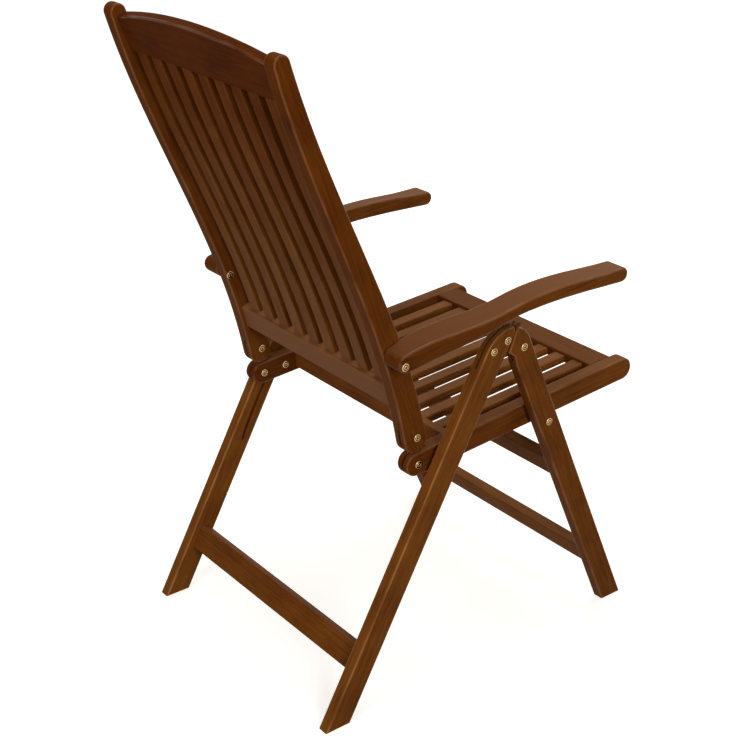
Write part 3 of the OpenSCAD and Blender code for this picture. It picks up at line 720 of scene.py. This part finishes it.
def head_rings(face, out):
    """Rings of a domed head from the wood outward, with a rolled rim, a groove and a hexagon socket."""
    return [(face + out * HEAD_HEIGHT * up, HEAD_RADIUS * share, sides, recess_shade)
            for share, up, sides, recess_shade in HEAD_PROFILE]


def through_bolt(node, shaft, steps=()):
    """Rings of a bolt from end to end of a node's box: a head, the shaft with wider steps, and a head."""
    low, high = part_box(node)
    start, end = low[0] + HEAD_HEIGHT, high[0] - HEAD_HEIGHT
    rings = [*reversed(head_rings(start, -1)), (start, shaft)]
    for near, far, radius in steps:
        rings += [(near, shaft), (near, radius), (far, radius), (far, shaft)]
    return [*rings, (end, shaft), *head_rings(end, 1)]


def box_middle(node):
    """Middle of a node's box seen from the side."""
    low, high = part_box(node)
    return ((low[1] + high[1]) / 2, (low[2] + high[2]) / 2)


def ends(node, out):
    """Inner and outer X of a node, on the side of the chair whose outward direction is given."""
    low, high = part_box(node)
    return (low[0], high[0]) if out > 0 else (high[0], low[0])


def smooth_metal(node, bm):
    """Close a metal piece's form into a smooth mesh."""
    bmesh.ops.recalc_face_normals(bm, faces=bm.faces)
    mesh = bpy.data.meshes.new(node + "_metal")
    bm.to_mesh(mesh)
    bm.free()
    mesh.shade_smooth()
    mesh.set_sharp_from_angle(angle=math.radians(38))
    return mesh


def bolt(node, *parts):
    """A bolt piece made of turned parts, each a centre with its rings, that stands for a CAD node."""
    bm = bmesh.new()
    for centre, rings in parts:
        turned(bm, rings, centre)
    mesh = smooth_metal(node, bm)
    mesh.materials.append(plated_brass())
    stand_for(node, bpy.data.objects.new(node + "_turned", mesh))


def pivot_bolts(side, rail_out, leg_in, out):
    """The bolts that the legs, the seat and the back turn on."""
    for node in (f"leg_pivot_{side}", f"back_pivot_{side}"):
        bolt(node, (box_middle(node), through_bolt(node, PIVOT_RADIUS)))
    node = f"seat_pivot_{side}"
    near, far = sorted((rail_out + out * PLAY, leg_in))
    bolt(node, (box_middle(node), through_bolt(node, PIVOT_RADIUS, [(near, far, SPACER_RADIUS)])))


def leg_plate_bolts(side):
    """The two bolts that hold the plate in a rear leg's top."""
    node = f"leg_plate_bolts_{side}"
    low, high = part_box(node)
    upper = (low[1] + HEAD_RADIUS, high[2] - HEAD_RADIUS)
    lower = (high[1] - HEAD_RADIUS, low[2] + HEAD_RADIUS)
    bolt(node, *[(spot, through_bolt(node, SHANK_RADIUS)) for spot in (upper, lower)])


def slot_bolt(side, rail_out, leg_in, out):
    """The seat's bolt with its collar, whose end runs in the rear leg's slot."""
    node = f"slot_bolt_{side}"
    inner, outer = ends(node, out)
    face = inner + out * HEAD_HEIGHT
    collar = leg_in - out * PLAY
    bolt(node, (box_middle(node), [
        *reversed(head_rings(face, -out)), (face, SHANK_RADIUS), (rail_out, SHANK_RADIUS),
        (rail_out, COLLAR_RADIUS), (collar, COLLAR_RADIUS), (collar, RUNNER_RADIUS),
        (outer - out * TIP, RUNNER_RADIUS), (outer, RUNNER_RADIUS - TIP)]))


def arm_bolt(side, out):
    """The armrest's bolt and the sleeve nut that it screws into."""
    node = f"arm_bolt_{side}"
    inner, outer = ends(node, out)
    face = outer - out * HEAD_HEIGHT
    bolt(node, (box_middle(node), [
        (inner, SHANK_RADIUS - TIP), (inner + out * TIP, SHANK_RADIUS), (face, SHANK_RADIUS),
        *head_rings(face, out)]))
    node = f"arm_sleeve_{side}"
    inner, outer = ends(node, out)
    face = inner + out * HEAD_HEIGHT
    bolt(node, (box_middle(node), [
        *reversed(head_rings(face, -out)), (face, PIVOT_RADIUS), (outer, PIVOT_RADIUS),
        (outer, BORE_RADIUS), (inner + out * BORE_END, BORE_RADIUS)]))


class CHAIR_OT_bolts(bpy.types.Operator):
    """Turn the brass bolts with their domed heads"""
    bl_idname = "chair.bolts"
    bl_label = "Bolts"

    def execute(self, context):
        for side, out in zip(SIDES, (1, -1)):
            rail_out = ends(f"seat_rail_{side}", out)[1]
            leg_in = ends(f"rear_leg_{side}", out)[0]
            pivot_bolts(side, rail_out, leg_in, out)
            leg_plate_bolts(side)
            slot_bolt(side, rail_out, leg_in, out)
            arm_bolt(side, out)
        return {"FINISHED"}


# Plates
PLATE_RADIUS = 0.011
PLATE_HALF_THICKNESS = 0.00175
PLATE_CHAMFER = 0.0004
# Straight pieces in each round end of a plate
END_STEPS = 20


def back_plate(side):
    """The round-ended plate that carries the back, with its lower bolt."""
    node = f"seat_plate_{side}"
    low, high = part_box(node)
    rail_low, rail_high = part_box(f"seat_rail_{side}")
    middle = (rail_low[0] + rail_high[0]) / 2
    foot = Vector((low[1] + PLATE_RADIUS, low[2] + PLATE_RADIUS))
    top = Vector((high[1] - PLATE_RADIUS, high[2] - PLATE_RADIUS))
    along = (top - foot).normalized()
    start = math.atan2(along.y, along.x)
    rim = [(top, start - math.pi / 2 + math.pi * i / END_STEPS) for i in range(END_STEPS + 1)]
    rim += [(foot, start + math.pi / 2 + math.pi * i / END_STEPS) for i in range(END_STEPS + 1)]
    half = PLATE_HALF_THICKNESS
    edge, shoulder = PLATE_RADIUS - PLATE_CHAMFER, half - PLATE_CHAMFER
    bm = bmesh.new()
    loops = []
    for x, reach in ((-half, edge), (-shoulder, PLATE_RADIUS), (shoulder, PLATE_RADIUS), (half, edge)):
        loops.append([bm.verts.new((middle + x, centre.x + reach * math.cos(angle),
                                    centre.y + reach * math.sin(angle))) for centre, angle in rim])
    bridge(bm, loops)
    plate_faces = len(bm.faces)
    turned(bm, through_bolt(node, SHANK_RADIUS), (foot.x, foot.y))
    for number, face in enumerate(bm.faces):
        face.material_index = 0 if number < plate_faces else 1
    mesh = smooth_metal(node, bm)
    mesh.materials.append(dulled_plate())
    mesh.materials.append(plated_brass())
    stand_for(node, bpy.data.objects.new(node + "_bolted", mesh))


class CHAIR_OT_plates(bpy.types.Operator):
    """Dull the plates and racks let into the wood"""
    bl_idname = "chair.plates"
    bl_label = "Plates and racks"

    def execute(self, context):
        for side in SIDES:
            back_plate(side)
            for part in ("leg_plate", "arm_rack"):
                node = frame["nodes"][f"{part}_{side}"]
                node.data.materials.clear()
                node.data.materials.append(dulled_plate())
        return {"FINISHED"}


# Stage
FLOOR_RADIUS = 30.0
# Strength of the surround where it only fills the shade
FILL = 0.085
# Middle of the chair, which the lights face
CHAIR_MIDDLE = (0, 0, 0.5)
LIGHT_WHITE = "#FFFFFF"
LIGHT_WARM = "#FFF3E2"
# Camera fitted to the photograph's lateral and leg lines
CAMERA_PLACE = (-1.8107, 1.4374, 1.5422)
CAMERA_AIM = (0.7173, -0.5570, -0.4185)
CAMERA_LENS = 71.47
CAMERA_SHIFT = (-0.00337, -0.00625)


def soft_light(name, place, size, power, colour):
    """A square area lamp aimed at the chair."""
    lamp = bpy.data.lights.new(name, "AREA")
    lamp.shape = "SQUARE"
    lamp.size = size
    lamp.energy = power
    lamp.color = linear(colour)[:3]
    holder = bpy.data.objects.new(name, lamp)
    holder.location = place
    aim = Vector(CHAIR_MIDDLE) - Vector(place)
    holder.rotation_euler = aim.to_track_quat("-Z", "Y").to_euler()
    bpy.context.scene.collection.objects.link(holder)
    return holder


def painted_floor(colour):
    """Matt painted floor."""
    # Reads as white to the eye and keeps the chair's soft shadow
    material, tree, output = new_material("painted_floor")
    matt = add_node(tree, "ShaderNodeBsdfDiffuse", {"Color": shaded(colour)})
    place = add_node(tree, "ShaderNodeTexCoord").outputs["Object"]
    reach = add_node(tree, "ShaderNodeVectorMath", {"operation": "LENGTH"}, i0=place)
    glow = add_node(tree, "ShaderNodeMapRange",
                    {"From Min": 0.5, "From Max": 5.0, "To Min": 0.60, "To Max": 0.97},
                    Value=reach.outputs["Value"])
    lift = add_node(tree, "ShaderNodeEmission", None, Strength=glow.outputs[0])
    # What the floor throws back on the chair is dimmer
    dim = add_node(tree, "ShaderNodeBsdfDiffuse", {"Color": (0.22, 0.21, 0.20, 1)})
    both = add_node(tree, "ShaderNodeAddShader", None, i0=matt.outputs[0], i1=lift.outputs[0])
    path = add_node(tree, "ShaderNodeLightPath").outputs
    seen = add_node(tree, "ShaderNodeMath", {"operation": "MAXIMUM"},
                    i0=path["Is Camera Ray"], i1=path["Is Glossy Ray"])
    shown = add_node(tree, "ShaderNodeMixShader", None,
                     i0=seen.outputs[0], i1=dim.outputs[0], i2=both.outputs[0])
    tree.links.new(shown.outputs[0], output.inputs[0])
    return material


def white_surround():
    """A world that is white to the eye and in reflections, and a plain fill for the rest."""
    world = bpy.data.worlds.new("surround")
    world.use_nodes = True
    tree = world.node_tree
    tree.nodes.clear()
    output = tree.nodes.new("ShaderNodeOutputWorld")
    path = add_node(tree, "ShaderNodeLightPath").outputs
    seen = add_node(tree, "ShaderNodeMath", {"operation": "MAXIMUM"},
                    i0=path["Is Camera Ray"], i1=path["Is Glossy Ray"])
    also = add_node(tree, "ShaderNodeMath", {"operation": "MAXIMUM"},
                    i0=seen.outputs[0], i1=path["Is Transmission Ray"])
    white = add_node(tree, "ShaderNodeBackground", {"Color": (1, 1, 1, 1), "Strength": 1.0})
    fill = add_node(tree, "ShaderNodeBackground", {"Color": (1, 1, 1, 1), "Strength": FILL})
    mixed = add_node(tree, "ShaderNodeMixShader", None,
                     i0=also.outputs[0], i1=fill.outputs[0], i2=white.outputs[0])
    tree.links.new(mixed.outputs[0], output.inputs[0])
    return world


def photo_camera():
    """The camera at the photograph's viewing angle."""
    camera = bpy.data.cameras.new("photo_view")
    camera.sensor_width = 36.0
    camera.lens = CAMERA_LENS
    camera.shift_x, camera.shift_y = CAMERA_SHIFT
    holder = bpy.data.objects.new("photo_view", camera)
    holder.location = CAMERA_PLACE
    holder.rotation_euler = Vector(CAMERA_AIM).to_track_quat("-Z", "Y").to_euler()
    bpy.context.scene.collection.objects.link(holder)
    return holder


class CHAIR_OT_stage(bpy.types.Operator):
    """Set the floor, the soft lights, the white surround and the camera"""
    bl_idname = "chair.stage"
    bl_label = "Stage"

    def execute(self, context):
        scene = context.scene
        stage = scene.chair_stage
        mesh = bpy.data.meshes.new("floor")
        bm = bmesh.new()
        bmesh.ops.create_circle(bm, cap_ends=True, radius=FLOOR_RADIUS, segments=96)
        bm.to_mesh(mesh)
        bm.free()
        mesh.materials.append(painted_floor(stage.floor))
        floor = bpy.data.objects.new("floor", mesh)
        scene.collection.objects.link(floor)
        scene.world = white_surround()
        soft_light("overhead", (0.2, -0.6, 3.2), 2.2, stage.key, LIGHT_WHITE)
        # The rear light adds to the chair's colour and not to its sheen
        soft_light("rear", (-0.8, 3.3, 2.0), 1.6, stage.rear, LIGHT_WARM).visible_glossy = False
        soft_light("side", (-3.2, 1.0, 1.9), 1.3, stage.side, LIGHT_WARM)
        # The front light serves the faces turned away from the photo's view
        soft_light("front", (1.8, -3.0, 1.9), 1.6, stage.front, LIGHT_WARM).visible_glossy = False
        scene.camera = photo_camera()
        scene.view_settings.view_transform = "Standard"
        return {"FINISHED"}


OPERATORS = (CHAIR_OT_legs, CHAIR_OT_stretchers, CHAIR_OT_seat, CHAIR_OT_back, CHAIR_OT_armrests,
             CHAIR_OT_bolts, CHAIR_OT_plates, CHAIR_OT_stage)


class CHAIR_PT_panel(bpy.types.Panel):
    """The armchair's pieces and settings"""
    bl_idname = "CHAIR_PT_panel"
    bl_label = "Folding armchair"
    bl_space_type = "VIEW_3D"
    bl_region_type = "UI"
    bl_category = "Armchair"

    def draw(self, context):
        scene = context.scene
        for group in (scene.chair_wood, scene.chair_metal, scene.chair_stage):
            box = self.layout.box()
            for name in group.__annotations__:
                box.prop(group, name)
        for operator in OPERATORS:
            self.layout.operator(operator.bl_idname)


GROUPS = {"chair_wood": ChairWoodSettings, "chair_metal": ChairMetalSettings,
          "chair_stage": ChairStageSettings}


def register():
    for cls in (*GROUPS.values(), *OPERATORS, CHAIR_PT_panel):
        bpy.utils.register_class(cls)
    for name, group in GROUPS.items():
        setattr(bpy.types.Scene, name, bpy.props.PointerProperty(type=group))


def unregister():
    for name in GROUPS:
        delattr(bpy.types.Scene, name)
    for cls in reversed((*GROUPS.values(), *OPERATORS, CHAIR_PT_panel)):
        bpy.utils.unregister_class(cls)


def main():
    register()
    bpy.ops.chair.legs()
    bpy.ops.chair.stretchers()
    bpy.ops.chair.seat()
    bpy.ops.chair.back()
    bpy.ops.chair.armrests()
    bpy.ops.chair.bolts()
    bpy.ops.chair.plates()
    bpy.ops.chair.stage()


if __name__ == "__main__":
    main()
